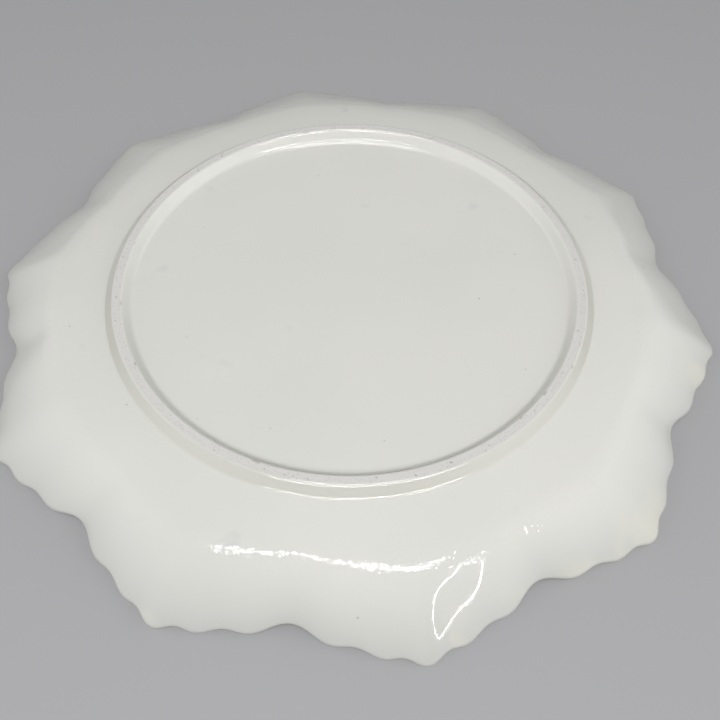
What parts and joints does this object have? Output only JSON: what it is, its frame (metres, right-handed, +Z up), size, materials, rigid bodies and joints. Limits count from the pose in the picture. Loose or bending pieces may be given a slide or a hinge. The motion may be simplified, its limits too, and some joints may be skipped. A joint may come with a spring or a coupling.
{
  "type": "decorative plate",
  "caption": "Round white china plate, face down, with a fluted, petalled and scalloped rim, a flat recessed base and a low foot ring with a bare bearing band.",
  "frame": {"origin": "on the plate's axis, level with the petal tips that it lies on, face down", "axes": "+Z up from the table, out of the plate's back towards its foot ring; +X through one petal tip"},
  "size_m": [0.228, 0.217, 0.0182],
  "materials": {
    "glazed_china": "clear gloss glaze over white china",
    "bare_china": "unglazed, worn and slightly soiled"
  },
  "bodies": {
    "root": {"well": "glazed_china", "foot_ring": "glazed_china", "foot_band": "bare_china", "cavetto": "glazed_china", "rim": "glazed_china"}
  },
  "joints": []
}
